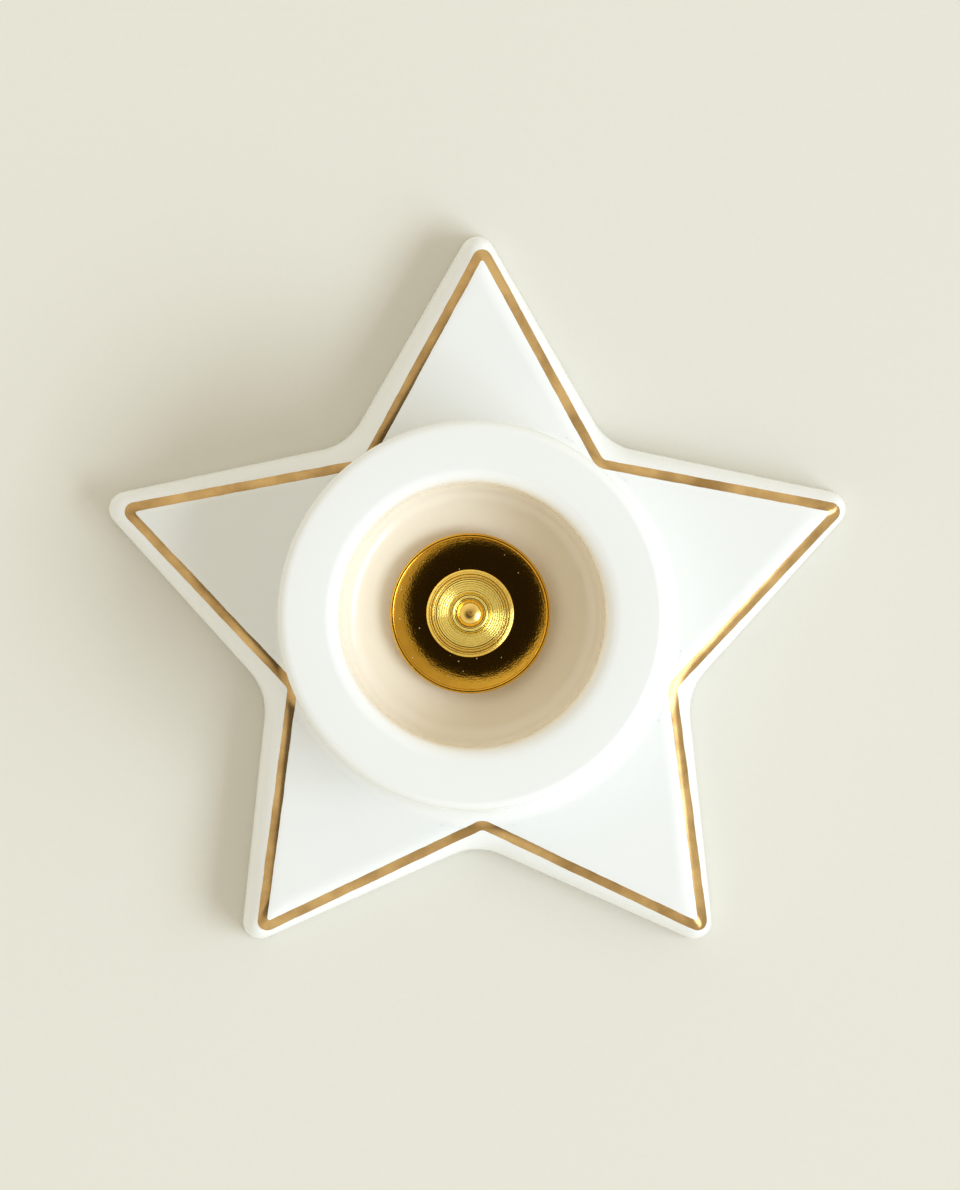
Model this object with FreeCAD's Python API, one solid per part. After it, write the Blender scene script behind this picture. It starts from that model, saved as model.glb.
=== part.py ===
import FreeCAD, Part
import math
import os
from FreeCAD import Vector

# Porcelain tealight holder: a five-pointed star dish with a round candle cup bolted on its hub.
#
# Frame, in millimetres: the origin is the star's centre on the plane that its foot stands on.
# +Z is up, +Y points along the star's top arm and +X to its right.
#
# The star dish is an open-bottomed casting with a thin rounded shoulder and a low round hub.
# The candle cup is a double-walled casting. A screw from below draws a turned ferrule nut down
# on a small drip pan in the cup's floor, and so holds the cup to the hub.

# ---- star dish -------------------------------------------------------------------------------
POINTS = 5                   # arms of the star
TIP_REACH = 63.2             # centre to an arm's corner, before rounding, at the widest level
VALLEY_REACH = 34.55         # centre to a valley's corner, before rounding, at the widest level
TIP_ROUND = 3.0              # plan radius of an arm's tip
VALLEY_ROUND = 9.0           # plan radius of a valley
SHARPEST_ROUND = 1.2         # plan radius left where the shoulder runs in past the tip's centre
STAR_HEIGHT = 10.0           # foot plane to the flat top
SHOULDER_RADIUS = 5.0        # rounding between the wall and the flat top
SHOULDER_LEVELS = 9          # outlines that the shoulder is drawn through
WALL_DRAFT_DEG = 4.0         # the wall leans in towards the top
FOOT_ROUND = 0.6             # small bevel under the wall
DISH_WALL = 4.0              # foot width, bevel included
POCKET_DRAFT = 0.4           # how much the pocket narrows up to its ceiling's bevel
POCKET_BEVEL = 1.2           # bevel between the pocket's wall and ceiling
POCKET_CEILING = 6.0         # underside of the arms' top

# ---- hub in the middle of the star -----------------------------------------------------------
HUB_RADIUS = 28.8            # the hub's wall, which only shows as the end of the cove
HUB_TOP = 13.2               # seat of the candle cup
HUB_EDGE = 0.4               # rounding of the seat's edge
COVE_RADIUS = 2.8            # concave sweep from the flat top up to the hub
HUB_HOLE_RADIUS = 4.5        # generous hole, which lets the cup sit off the centre
RECESS_RADIUS = 13.0         # clearance for the washers, under the hub
RECESS_MOUTH = 15.0          # the recess opens out towards the pocket
RECESS_CEILING = 8.8

# ---- gold line -------------------------------------------------------------------------------
LINE_TIP_REACH = 59.6        # outer edge of the line at an arm's corner, before rounding
LINE_VALLEY_REACH = 31.55    # outer edge of the line at a valley's corner, before rounding
LINE_WIDTH = 1.45
LINE_TIP_ROUND = 1.5
LINE_VALLEY_ROUND = 1.2
LINE_SHARPEST_ROUND = 0.3    # the line's inner edge turns almost sharply at the tips
LINE_SHIFT = Vector(0.8, -0.3, 0.0)       # the line was painted a little off the star's centre
LINE_DEPTH = 0.1             # the fired film is far thinner: this is a workable inlay

# ---- candle cup ------------------------------------------------------------------------------
CUP_SHIFT = Vector(-0.72, 1.29, 0.0)      # the cup is bolted on a little off the star's centre
CUP_TOP = 32.0
CUP_RADIUS = 29.3            # outer wall under the rim's rounding
CUP_FOOT_RADIUS = 28.0       # outer wall above the foot's rounding
CUP_FOOT_ROUND = 1.0
RIM_OUTER_ROUND = 1.5
RIM_INNER_ROUND = 2.5
WELL_RADIUS = 20.0           # a standard tealight is 38 to 39 across
WELL_FLOOR = 17.0
WELL_FLOOR_ROUND = 3.2
CUP_WALL = 3.2               # thickness of both walls around the cup's ring cavity
CUP_CAVITY_BASE = 17.0
CUP_HOLE_RADIUS = 3.0
CUP_VENT_RADIUS = 1.0        # lets the ring cavity breathe in the kiln
GASKET_SEAT_RADIUS = 9.7     # shallow recess for the gasket under the cup
GASKET_SEAT_DEPTH = 1.0

# ---- fitting ---------------------------------------------------------------------------------
FITTING_SHIFT = Vector(-1.07, 1.53, 0.0)  # axis of the screw and all that is on it
SCREW_RADIUS = 2.0           # M4
SCREW_LENGTH = 14.0          # under the head
SCREW_DOME = 0.7             # height of the screw's rounded end
SCREW_MARK = 0.35            # radius and depth of the lathe's centre mark in that end
SCREW_HEAD_RADIUS = 4.0
SCREW_HEAD_HEIGHT = 2.7
SCREW_HEAD_ROUND = 1.4
CROSS_WIDTH = 1.0            # cross recess in the screw's head
CROSS_SPAN = 4.4
CROSS_DEPTH = 1.6
WASHER_HOLE_RADIUS = 2.2
SOFT_WASHER_RADIUS = 8.0
SOFT_WASHER_THICK = 1.0
STEEL_WASHER_RADIUS = 7.5
STEEL_WASHER_THICK = 1.0
SPRING_WASHER_RADIUS = 3.8
SPRING_WASHER_THICK = 0.9
SPRING_WASHER_SLOT = 0.8
CUP_GASKET_RADIUS = 9.0
GASKET_HOLE_RADIUS = 3.2
PAN_GASKET_RADIUS = 8.5
PAN_GASKET_THICK = 0.5

PAN_THICK = 0.7
PAN_RADIUS = 12.24
PAN_FLAT_RADIUS = 7.2        # flat seat for the nut, before the pan rises gently to its lip
PAN_BULGE = 0.14             # how far the pan's underside swells below a straight cone
PAN_LIP_ROUND = 0.34         # half of the lip's thickness
PAN_HEIGHT = 1.65            # pan's underside to the top of its lip

FERRULE_RADIUS = 6.69
FERRULE_WALL = 0.25          # straight height under the shoulder
FERRULE_SHOULDER = 1.0       # height of the shoulder, which is almost a cone
FERRULE_BULGE = 0.08         # how far the shoulder swells beyond a straight cone
FERRULE_FACE_RADIUS = 5.1    # turned flat face
GROOVES = 3                  # fine grooves turned in the shoulder
GROOVE_RADIUS = 0.09
COLLAR_RADIUS = 3.14
COLLAR_HEIGHT = 0.55         # the collar is a full round bead
COLLAR_ROUND = 0.5

UP = Vector(0, 0, 1)
CENTRE = Vector(0, 0, 0)


def at_angle(reach, degrees, height):
    """A point at a distance and a compass angle from the star's centre."""
    turn = math.radians(degrees)
    return Vector(reach * math.cos(turn), reach * math.sin(turn), height)


class StarOutline:
    """A star in plan: two reaches and two corner radii. It can be drawn inset, at any height."""

    def __init__(self, tip_reach, valley_reach, tip_round, valley_round, sharpest_round, shift):
        half_pitch = math.pi / POINTS
        self.tip_reach = tip_reach
        self.valley_reach = valley_reach
        self.tip_round = tip_round
        self.valley_round = valley_round
        self.sharpest_round = sharpest_round
        self.shift = shift
        self.tip_half_angle = math.atan2(
            valley_reach * math.sin(half_pitch),
            tip_reach - valley_reach * math.cos(half_pitch),
        )
        self.valley_half_angle = self.tip_half_angle + half_pitch

    def corner(self, number, inset, height):
        """The two ends and the middle of one rounded corner's arc."""
        is_tip = number % 2 == 0
        half_angle = self.tip_half_angle if is_tip else self.valley_half_angle
        reach = self.tip_reach if is_tip else self.valley_reach
        reach = reach - inset / math.sin(half_angle)
        if is_tip:
            radius = max(self.tip_round - inset, self.sharpest_round)
        else:
            radius = self.valley_round + inset
        run = radius / math.tan(half_angle)
        sagitta = radius / math.sin(half_angle) - radius
        along = -run * math.cos(half_angle) if is_tip else run * math.cos(half_angle)
        across = run * math.sin(half_angle)
        middle = reach - sagitta if is_tip else reach + sagitta
        degrees = 90.0 + number * 180.0 / POINTS
        outward = at_angle(1.0, degrees, 0.0)
        sideways = UP.cross(outward)
        end = outward * (reach + along)
        lift = self.shift + UP * height
        return (
            end - sideways * across + lift,
            outward * middle + lift,
            end + sideways * across + lift,
        )

    def wire(self, inset, height):
        """The closed outline: an arc for each corner and a straight edge between neighbours."""
        corners = [self.corner(number, inset, height) for number in range(2 * POINTS)]
        edges = []
        for number, (start, middle, end) in enumerate(corners):
            following = corners[(number + 1) % len(corners)][0]
            edges.append(Part.Arc(start, middle, end).toShape())
            edges.append(Part.LineSegment(end, following).toShape())
        return Part.Wire(edges)

    def prism(self, inset, bottom, top):
        """The outline as an upright solid."""
        face = Part.Face(self.wire(inset, bottom))
        return face.extrude(UP * (top - bottom))


STAR = StarOutline(TIP_REACH, VALLEY_REACH, TIP_ROUND, VALLEY_ROUND, SHARPEST_ROUND, CENTRE)
LINE = StarOutline(
    LINE_TIP_REACH, LINE_VALLEY_REACH, LINE_TIP_ROUND, LINE_VALLEY_ROUND, LINE_SHARPEST_ROUND, LINE_SHIFT,
)


def profile(steps):
    """A closed face in the XZ plane. A step is a point, or a pair: an arc's middle and its end."""
    def place(point):
        return Vector(point[0], 0, point[1])

    start = place(steps[0])
    last = start
    edges = []
    for step in steps[1:]:
        if isinstance(step[0], tuple):
            middle, end = place(step[0]), place(step[1])
            edges.append(Part.Arc(last, middle, end).toShape())
        else:
            end = place(step)
            edges.append(Part.LineSegment(last, end).toShape())
        last = end
    edges.append(Part.LineSegment(last, start).toShape())
    return Part.Face(Part.Wire(edges))


def turned(steps, shift=CENTRE):
    """A solid of revolution about an upright axis."""
    solid = profile(steps).revolve(CENTRE, UP, 360)
    solid.translate(shift)
    return solid


def on_arc(centre, radius, degrees):
    """A profile point on an arc, as (distance from the axis, height)."""
    turn = math.radians(degrees)
    return (centre[0] + radius * math.cos(turn), centre[1] + radius * math.sin(turn))


def arc_step(centre, radius, start_degrees, end_degrees):
    """The middle and the end of an arc, for a profile."""
    middle = on_arc(centre, radius, (start_degrees + end_degrees) / 2)
    return (middle, on_arc(centre, radius, end_degrees))


def ring(outer, inner, bottom, top, shift=CENTRE):
    """A flat ring, such as a washer or a gasket."""
    return turned([(inner, bottom), (outer, bottom), (outer, top), (inner, top)], shift)


def cylinder(radius, bottom, top, shift=CENTRE):
    return Part.makeCylinder(radius, top - bottom, UP * bottom + shift, UP)


def star_body():
    """The star's outer form without its hub: foot bevel, leaning wall and rounded shoulder."""
    wall_top = STAR_HEIGHT - SHOULDER_RADIUS
    lean = (wall_top - FOOT_ROUND) * math.tan(math.radians(WALL_DRAFT_DEG))
    wall_levels = [(FOOT_ROUND, 0.0), (0.0, FOOT_ROUND), (lean, wall_top)]
    wall = Part.makeLoft([STAR.wire(inset, height) for inset, height in wall_levels], True, True)
    shoulder_wires = []
    for level in range(SHOULDER_LEVELS):
        turn = math.pi / 2 * level / (SHOULDER_LEVELS - 1)
        inset = lean + SHOULDER_RADIUS * (1 - math.cos(turn))
        height = wall_top + SHOULDER_RADIUS * math.sin(turn)
        shoulder_wires.append(STAR.wire(inset, height))
    shoulder = Part.makeLoft(shoulder_wires, True, False)
    return wall.fuse(shoulder)


def hub():
    """The round seat under the cup, with its cove. It reaches down into the star's body."""
    cove_centre = (HUB_RADIUS + COVE_RADIUS, STAR_HEIGHT + COVE_RADIUS)
    edge_centre = (HUB_RADIUS - HUB_EDGE, HUB_TOP - HUB_EDGE)
    root = POCKET_CEILING + 1.0
    return turned([
        (0, root),
        (HUB_RADIUS + COVE_RADIUS, root),
        (HUB_RADIUS + COVE_RADIUS, STAR_HEIGHT),
        arc_step(cove_centre, COVE_RADIUS, 270, 180),
        arc_step(edge_centre, HUB_EDGE, 0, 90),
        (0, HUB_TOP),
    ])


def star_pocket():
    """The open hollow under the star, and the deeper recess and hole for the fitting."""
    below = -1.0
    levels = [
        (DISH_WALL, below),
        (DISH_WALL + POCKET_DRAFT, POCKET_CEILING - POCKET_BEVEL),
        (DISH_WALL + POCKET_DRAFT + POCKET_BEVEL, POCKET_CEILING),
    ]
    pocket = Part.makeLoft([STAR.wire(inset, height) for inset, height in levels], True, True)
    recess = turned([
        (0, POCKET_CEILING - 1.0),
        (RECESS_MOUTH, POCKET_CEILING - 1.0),
        (RECESS_MOUTH, POCKET_CEILING),
        (RECESS_RADIUS, RECESS_CEILING),
        (0, RECESS_CEILING),
    ])
    hole = cylinder(HUB_HOLE_RADIUS, RECESS_CEILING - 1.0, HUB_TOP + 1.0)
    return pocket.fuse(recess).fuse(hole)


def line_band(solid):
    """What the gold line's plan outline takes out of a solid."""
    bottom = STAR_HEIGHT - SHOULDER_RADIUS
    top = HUB_TOP
    band = LINE.prism(0.0, bottom, top).cut(LINE.prism(LINE_WIDTH, bottom, top))
    return band.common(solid)


def gold_line(outer_form):
    """The line's inlay: the band of the surface, less the whole form a little lower.

    The crumb that the cove's toe parts from one valley is left to the porcelain.
    """
    lower_form = outer_form.copy()
    lower_form.translate(UP * -LINE_DEPTH)
    inlay = line_band(outer_form).cut(lower_form)
    return max(inlay.Solids, key=lambda solid: solid.Volume)


def candle_cup():
    """The double-walled cup: rim, tealight well, ring cavity, gasket seat and screw hole."""
    rim_outer = (CUP_RADIUS - RIM_OUTER_ROUND, CUP_TOP - RIM_OUTER_ROUND)
    rim_inner = (WELL_RADIUS + RIM_INNER_ROUND, CUP_TOP - RIM_INNER_ROUND)
    floor_round = (WELL_RADIUS - WELL_FLOOR_ROUND, WELL_FLOOR + WELL_FLOOR_ROUND)
    foot_round = (CUP_FOOT_RADIUS - CUP_FOOT_ROUND, HUB_TOP + CUP_FOOT_ROUND)
    body = turned([
        (0, HUB_TOP),
        (foot_round[0], HUB_TOP),
        arc_step(foot_round, CUP_FOOT_ROUND, -90, 0),
        (CUP_RADIUS, rim_outer[1]),
        arc_step(rim_outer, RIM_OUTER_ROUND, 0, 90),
        (rim_inner[0], CUP_TOP),
        arc_step(rim_inner, RIM_INNER_ROUND, 90, 180),
        (WELL_RADIUS, floor_round[1]),
        arc_step(floor_round, WELL_FLOOR_ROUND, 0, -90),
        (0, WELL_FLOOR),
    ])
    cavity_top = CUP_TOP - CUP_WALL
    cavity_inner = WELL_RADIUS + CUP_WALL
    cavity = turned([
        (cavity_inner, CUP_CAVITY_BASE),
        (CUP_FOOT_RADIUS - CUP_WALL, CUP_CAVITY_BASE),
        (CUP_RADIUS - CUP_WALL, cavity_top),
        (cavity_inner + 1.0, cavity_top),
        (cavity_inner, cavity_top - 1.0),
    ])
    vent_place = Vector(0, -(cavity_inner + CUP_VENT_RADIUS - 0.2), 0)
    vent = cylinder(CUP_VENT_RADIUS, HUB_TOP - 1.0, CUP_CAVITY_BASE + 1.0, vent_place)
    hole = cylinder(CUP_HOLE_RADIUS, HUB_TOP - 1.0, WELL_FLOOR + 1.0)
    seat = cylinder(GASKET_SEAT_RADIUS, HUB_TOP - 1.0, HUB_TOP + GASKET_SEAT_DEPTH)
    cup = body.cut(cavity.fuse(vent)).cut(hole).cut(seat)
    cup.translate(CUP_SHIFT)
    return cup


def cup_gasket():
    return ring(CUP_GASKET_RADIUS, GASKET_HOLE_RADIUS, HUB_TOP, HUB_TOP + GASKET_SEAT_DEPTH, FITTING_SHIFT)


def pan_gasket():
    top = WELL_FLOOR + PAN_GASKET_THICK
    return ring(PAN_GASKET_RADIUS, GASKET_HOLE_RADIUS, WELL_FLOOR, top, FITTING_SHIFT)


PAN_BASE = WELL_FLOOR + PAN_GASKET_THICK
PAN_FLOOR = PAN_BASE + PAN_THICK


def drip_pan():
    """The spun dish: a flat seat, a floor that rises gently from it and a rolled lip."""
    lip = (PAN_RADIUS - PAN_LIP_ROUND, PAN_BASE + PAN_HEIGHT - PAN_LIP_ROUND)
    inner_end = (lip[0] - PAN_LIP_ROUND, lip[1])
    outer_end = (PAN_RADIUS, lip[1])
    rise = inner_end[1] - PAN_FLOOR
    reach = inner_end[0] - PAN_FLAT_RADIUS
    sweep = (rise * rise + reach * reach) / (2 * rise)
    half_turn = math.atan2(rise, reach)
    inside_middle = (
        PAN_FLAT_RADIUS + sweep * math.sin(half_turn),
        PAN_FLOOR + sweep * (1 - math.cos(half_turn)),
    )
    seat_radius = PAN_GASKET_RADIUS + 0.1
    outside_middle = (
        (seat_radius + outer_end[0]) / 2,
        (PAN_BASE + outer_end[1]) / 2 - PAN_BULGE,
    )
    return turned([
        (WASHER_HOLE_RADIUS, PAN_BASE),
        (seat_radius, PAN_BASE),
        (outside_middle, outer_end),
        arc_step(lip, PAN_LIP_ROUND, 0, 180),
        (inside_middle, (PAN_FLAT_RADIUS, PAN_FLOOR)),
        (WASHER_HOLE_RADIUS, PAN_FLOOR),
    ], FITTING_SHIFT)


FERRULE_FACE = PAN_FLOOR + FERRULE_WALL + FERRULE_SHOULDER


def ferrule_nut():
    """The turned nut: a round base, a grooved shoulder, a flat face and a tapped collar."""
    shoulder_low = (FERRULE_RADIUS, PAN_FLOOR + FERRULE_WALL)
    shoulder_high = (FERRULE_FACE_RADIUS, FERRULE_FACE)
    run = shoulder_low[0] - shoulder_high[0]
    middle = (
        (shoulder_low[0] + shoulder_high[0]) / 2 + FERRULE_BULGE * FERRULE_SHOULDER / run,
        (shoulder_low[1] + shoulder_high[1]) / 2 + FERRULE_BULGE,
    )
    collar_top = FERRULE_FACE + COLLAR_HEIGHT
    body = turned([
        (SCREW_RADIUS, PAN_FLOOR),
        (FERRULE_RADIUS, PAN_FLOOR),
        shoulder_low,
        (middle, shoulder_high),
        (COLLAR_RADIUS, FERRULE_FACE),
        (COLLAR_RADIUS, collar_top - COLLAR_ROUND),
        arc_step((COLLAR_RADIUS - COLLAR_ROUND, collar_top - COLLAR_ROUND), COLLAR_ROUND, 0, 90),
        (SCREW_RADIUS + COLLAR_ROUND, collar_top),
        arc_step((SCREW_RADIUS + COLLAR_ROUND, collar_top - COLLAR_ROUND), COLLAR_ROUND, 90, 180),
    ])
    shoulder_arc = Part.Arc(
        Vector(shoulder_low[0], 0, shoulder_low[1]),
        Vector(middle[0], 0, middle[1]),
        Vector(shoulder_high[0], 0, shoulder_high[1]),
    ).toShape()
    for number in range(GROOVES):
        spot = shoulder_arc.valueAt(shoulder_arc.Length * (number + 1) / (GROOVES + 1))
        groove = Part.makeTorus(spot.x, GROOVE_RADIUS, Vector(0, 0, spot.z), UP)
        body = body.cut(groove)
    body.translate(FITTING_SHIFT)
    return body


SOFT_WASHER_BASE = RECESS_CEILING - SOFT_WASHER_THICK
STEEL_WASHER_BASE = SOFT_WASHER_BASE - STEEL_WASHER_THICK
SPRING_WASHER_BASE = STEEL_WASHER_BASE - SPRING_WASHER_THICK


def soft_washer():
    return ring(SOFT_WASHER_RADIUS, WASHER_HOLE_RADIUS, SOFT_WASHER_BASE, RECESS_CEILING, FITTING_SHIFT)


def steel_washer():
    return ring(STEEL_WASHER_RADIUS, WASHER_HOLE_RADIUS, STEEL_WASHER_BASE, SOFT_WASHER_BASE, FITTING_SHIFT)


def spring_washer():
    """A split spring washer, drawn pressed flat."""
    washer = ring(SPRING_WASHER_RADIUS, WASHER_HOLE_RADIUS, SPRING_WASHER_BASE, STEEL_WASHER_BASE)
    slot = Part.makeBox(
        2 * SPRING_WASHER_RADIUS, SPRING_WASHER_SLOT, 2 * SPRING_WASHER_THICK,
        Vector(0, -SPRING_WASHER_SLOT / 2, SPRING_WASHER_BASE - SPRING_WASHER_THICK / 2),
    )
    washer = washer.cut(slot)
    washer.translate(FITTING_SHIFT)
    return washer


def dome_step(end):
    """The arc of the screw's rounded end, from its thread to the edge of the centre mark."""
    sphere = (SCREW_RADIUS * SCREW_RADIUS + SCREW_DOME * SCREW_DOME) / (2 * SCREW_DOME)
    centre = (0, end - sphere)
    edge = math.degrees(math.acos(SCREW_RADIUS / sphere))
    mark = math.degrees(math.acos(SCREW_MARK / sphere))
    return arc_step(centre, sphere, edge, mark)


def clamp_screw():
    """A pan-head machine screw from below, whose end shows in the ferrule nut's collar."""
    seat = SPRING_WASHER_BASE
    end = seat + SCREW_LENGTH
    head_base = seat - SCREW_HEAD_HEIGHT
    head_round = (SCREW_HEAD_RADIUS - SCREW_HEAD_ROUND, head_base + SCREW_HEAD_ROUND)
    screw = turned([
        (0, head_base),
        (head_round[0], head_base),
        arc_step(head_round, SCREW_HEAD_ROUND, -90, 0),
        (SCREW_HEAD_RADIUS, seat),
        (SCREW_RADIUS, seat),
        (SCREW_RADIUS, end - SCREW_DOME),
        dome_step(end),
        (0, end - SCREW_MARK),
    ])
    for degrees in (45, 135):
        arm = Part.makeBox(
            CROSS_SPAN, CROSS_WIDTH, CROSS_DEPTH + 1.0,
            Vector(-CROSS_SPAN / 2, -CROSS_WIDTH / 2, head_base - 1.0),
        )
        arm.rotate(CENTRE, UP, degrees)
        screw = screw.cut(arm)
    screw.translate(FITTING_SHIFT)
    return screw


def save(node, shape):
    """Write one sub-part, and say what it is."""
    solids = shape.Solids
    shape = solids[0] if len(solids) == 1 else Part.makeCompound(solids)
    shape.exportStep("parts/" + node + ".step")
    box = shape.optimalBoundingBox()
    print(
        f"{node:14s} solids {len(solids)} valid {shape.isValid()} volume {shape.Volume:9.1f} mm3 "
        f"x {box.XMin:.2f}..{box.XMax:.2f} y {box.YMin:.2f}..{box.YMax:.2f} z {box.ZMin:.2f}..{box.ZMax:.2f}"
    )


def main():
    os.makedirs("parts", exist_ok=True)
    outer_form = star_body().fuse(hub()).removeSplitter()
    line = gold_line(outer_form)
    save("star_dish", outer_form.cut(star_pocket()).cut(line))
    save("gold_line", line)
    save("candle_cup", candle_cup())
    save("cup_gasket", cup_gasket())
    save("pan_gasket", pan_gasket())
    save("drip_pan", drip_pan())
    save("ferrule_nut", ferrule_nut())
    save("soft_washer", soft_washer())
    save("steel_washer", steel_washer())
    save("spring_washer", spring_washer())
    save("clamp_screw", clamp_screw())


main()
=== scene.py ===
"""Looks of a porcelain tealight holder: a star-shaped dish, a round candle cup and a gold fitting.

The two castings are glazed porcelain. A line of gold lustre is fired on the star's shoulder. In the cup's
floor a spun pan and a turned nut, both gold plated, are drawn down by a screw from below. Every size is in
metres and every piece stands where the design's own nodes stand.
"""
import logging
import math
from dataclasses import dataclass, field
from enum import Enum
from typing import Callable, Iterable

import bmesh
import bpy
from bmesh.types import BMEdge, BMesh, BMVert
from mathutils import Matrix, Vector, noise


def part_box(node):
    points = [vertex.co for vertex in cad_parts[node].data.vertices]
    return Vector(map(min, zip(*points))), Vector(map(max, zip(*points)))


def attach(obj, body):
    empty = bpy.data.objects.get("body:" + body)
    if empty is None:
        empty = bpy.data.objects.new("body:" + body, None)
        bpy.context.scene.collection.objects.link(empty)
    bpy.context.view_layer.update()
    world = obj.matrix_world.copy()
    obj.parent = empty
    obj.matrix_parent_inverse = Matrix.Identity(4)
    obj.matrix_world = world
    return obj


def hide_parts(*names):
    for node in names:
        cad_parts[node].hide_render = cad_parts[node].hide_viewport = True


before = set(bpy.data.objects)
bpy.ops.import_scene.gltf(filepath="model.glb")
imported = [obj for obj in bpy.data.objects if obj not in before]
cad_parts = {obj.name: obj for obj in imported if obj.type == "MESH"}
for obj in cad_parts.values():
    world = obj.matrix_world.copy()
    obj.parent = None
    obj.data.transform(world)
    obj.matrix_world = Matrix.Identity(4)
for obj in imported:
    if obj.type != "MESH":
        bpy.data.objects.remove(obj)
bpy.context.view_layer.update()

log = logging.getLogger("tealight_holder")

MM = 0.001
FULL_TURN = 2.0 * math.pi
UP = Vector((0.0, 0.0, 1.0))
POLE_WELD = 0.0001 * MM   # joins a turned section's first and last
RING_WELD = 0.001 * MM    # joins a casting's first ring and its last
COPY_WELD = 0.002 * MM    # joins the loose triangles of a design node
BODY = "root"


# ---- colours and nodes -----------------------------------------------------------------------------
def linear(hex_colour: str, alpha: float = 1.0) -> tuple[float, float, float, float]:
    """Turn an sRGB hex colour into the linear colour that a shader takes.

    Args:
        hex_colour: six hex digits after a hash.
        alpha: opacity of the result.

    Returns:
        Linear red, green and blue, and the opacity.
    """
    parts = [int(hex_colour[start:start + 2], 16) / 255.0 for start in (1, 3, 5)]
    red, green, blue = (p / 12.92 if p <= 0.04045 else ((p + 0.055) / 1.055) ** 2.4 for p in parts)
    return red, green, blue, alpha


def add_node(tree: bpy.types.NodeTree, kind: str, inputs: dict | None = None,
             **settings: object) -> bpy.types.Node:
    """Add one node with its settings, its values and its links.

    Args:
        tree: the node tree that gets the node.
        kind: the node's type name.
        inputs: socket name or number to a value, or to another node's output socket.
        settings: attributes of the node itself.

    Returns:
        The new node.
    """
    node = tree.nodes.new(kind)
    for name, value in settings.items():
        setattr(node, name, value)
    for socket, value in (inputs or {}).items():
        if isinstance(value, bpy.types.NodeSocket):
            tree.links.new(value, node.inputs[socket])
        else:
            node.inputs[socket].default_value = value
    return node


def blank_material(name: str) -> tuple[bpy.types.Material, bpy.types.NodeTree, bpy.types.NodeSocket]:
    """Start a material with an empty tree and the piece's own Object coordinates.

    Args:
        name: the material's name.

    Returns:
        The material, its tree, and the Object coordinates' socket.
    """
    material = bpy.data.materials.new(name)
    material.use_nodes = True
    tree = material.node_tree
    tree.nodes.clear()
    place = add_node(tree, "ShaderNodeTexCoord").outputs["Object"]
    return material, tree, place


def close_material(tree: bpy.types.NodeTree, surface: bpy.types.NodeSocket) -> None:
    """Send a finished shader to the material's output."""
    add_node(tree, "ShaderNodeOutputMaterial", {"Surface": surface})


def per(size: float) -> float:
    """The scale of a pattern whose features are this many metres across."""
    return 1.0 / size


def wave_scale(pitch: float) -> float:
    """The scale of a wave texture, which runs through twenty radians per unit, for a pitch in metres."""
    return FULL_TURN / 20.0 / pitch


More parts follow.
